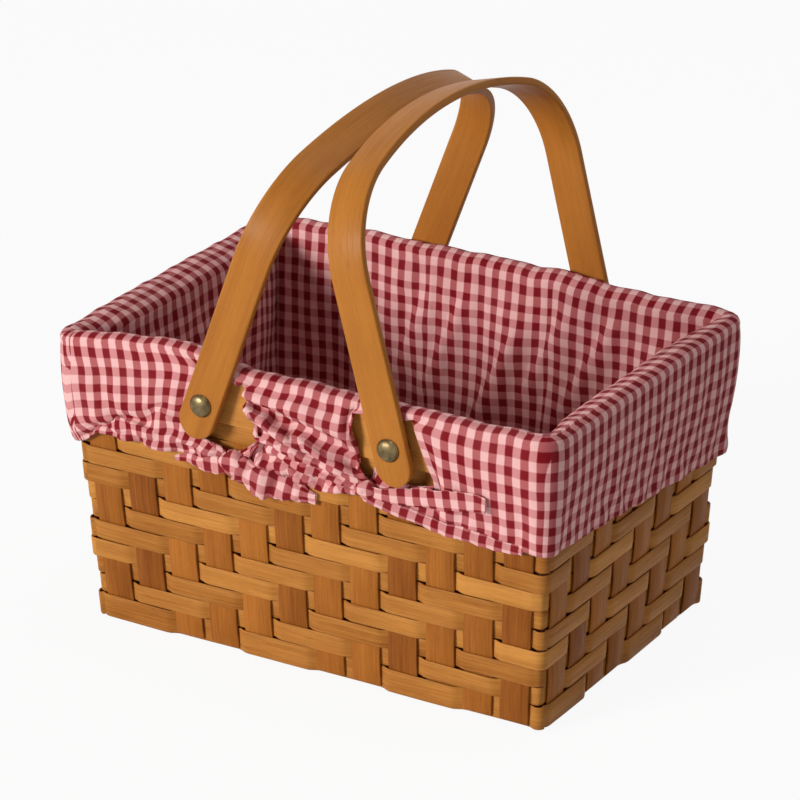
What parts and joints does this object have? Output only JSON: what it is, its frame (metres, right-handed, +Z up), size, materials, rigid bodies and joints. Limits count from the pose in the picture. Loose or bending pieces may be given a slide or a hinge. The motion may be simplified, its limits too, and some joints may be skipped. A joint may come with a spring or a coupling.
{
  "type": "picnic basket",
  "caption": "Rectangular twill-woven wood-splint picnic basket with a tied-in gingham liner and a pair of riveted bentwood handles that swing down over its ends.",
  "frame": {"origin": "under the middle of the base, on the surface the basket stands on", "axes": "+X along the long side to the right, +Y to the back, +Z up; the handles' pivots lie along Y"},
  "size_m": [0.2978, 0.2274, 0.2969],
  "materials": {
    "stake_splint": "thin varnished splint, orange honey",
    "weaver_splint": "thin varnished splint, pale honey",
    "rim_wood": "varnished wood",
    "handle_wood": "semi-gloss varnished bentwood, amber",
    "aged_brass": "aged brass",
    "gingham": "red and white woven gingham"
  },
  "bodies": {
    "basket": {"long_stake_01": "stake_splint", "long_stake_02": "stake_splint", "long_stake_03": "stake_splint", "long_stake_04": "stake_splint", "long_stake_05": "stake_splint", "long_stake_06": "stake_splint", "long_stake_07": "stake_splint", "long_stake_08": "stake_splint", "long_stake_09": "stake_splint", "long_stake_10": "stake_splint", "long_stake_11": "stake_splint", "long_stake_12": "stake_splint", "cross_stake_1": "stake_splint", "cross_stake_2": "stake_splint", "cross_stake_3": "stake_splint", "cross_stake_4": "stake_splint", "cross_stake_5": "stake_splint", "cross_stake_6": "stake_splint", "cross_stake_7": "stake_splint", "cross_stake_8": "stake_splint", "weaver_01": "weaver_splint", "weaver_02": "weaver_splint", "weaver_03": "weaver_splint", "weaver_04": "weaver_splint", "weaver_05": "weaver_splint", "weaver_06": "weaver_splint", "weaver_07": "weaver_splint", "weaver_08": "weaver_splint", "weaver_09": "weaver_splint", "weaver_10": "weaver_splint", "weaver_11": "weaver_splint", "weaver_12": "weaver_splint", "rim_outer_band": "rim_wood", "rim_inner_band": "rim_wood", "rivet_front_left": "aged_brass", "rivet_front_right": "aged_brass", "rivet_back_left": "aged_brass", "rivet_back_right": "aged_brass", "spacer_front_left": "aged_brass", "spacer_front_right": "aged_brass", "spacer_back_left": "aged_brass", "spacer_back_right": "aged_brass", "burr_front_left": "aged_brass", "burr_front_right": "aged_brass", "burr_back_left": "aged_brass", "burr_back_right": "aged_brass", "liner_bag": "gingham", "cuff_front": "gingham", "cuff_back": "gingham", "cuff_left": "gingham", "cuff_right": "gingham", "tie_front_left": "gingham", "tie_front_right": "gingham", "tie_back_left": "gingham", "tie_back_right": "gingham"},
    "left_handle": {"handle_left": "handle_wood"},
    "right_handle": {"handle_right": "handle_wood"}
  },
  "joints": [
    {"name": "left_handle_swing", "type": "hinge", "parent": "basket", "child": "left_handle", "pos_m": [-0.05352, 0, 0.147], "axis": [0, 1, 0], "range_deg": [-153.4, 0]},
    {"name": "right_handle_swing", "type": "hinge", "parent": "basket", "child": "right_handle", "pos_m": [0.05792, 0, 0.147], "axis": [0, 1, 0], "range_deg": [0, 149.9]}
  ]
}
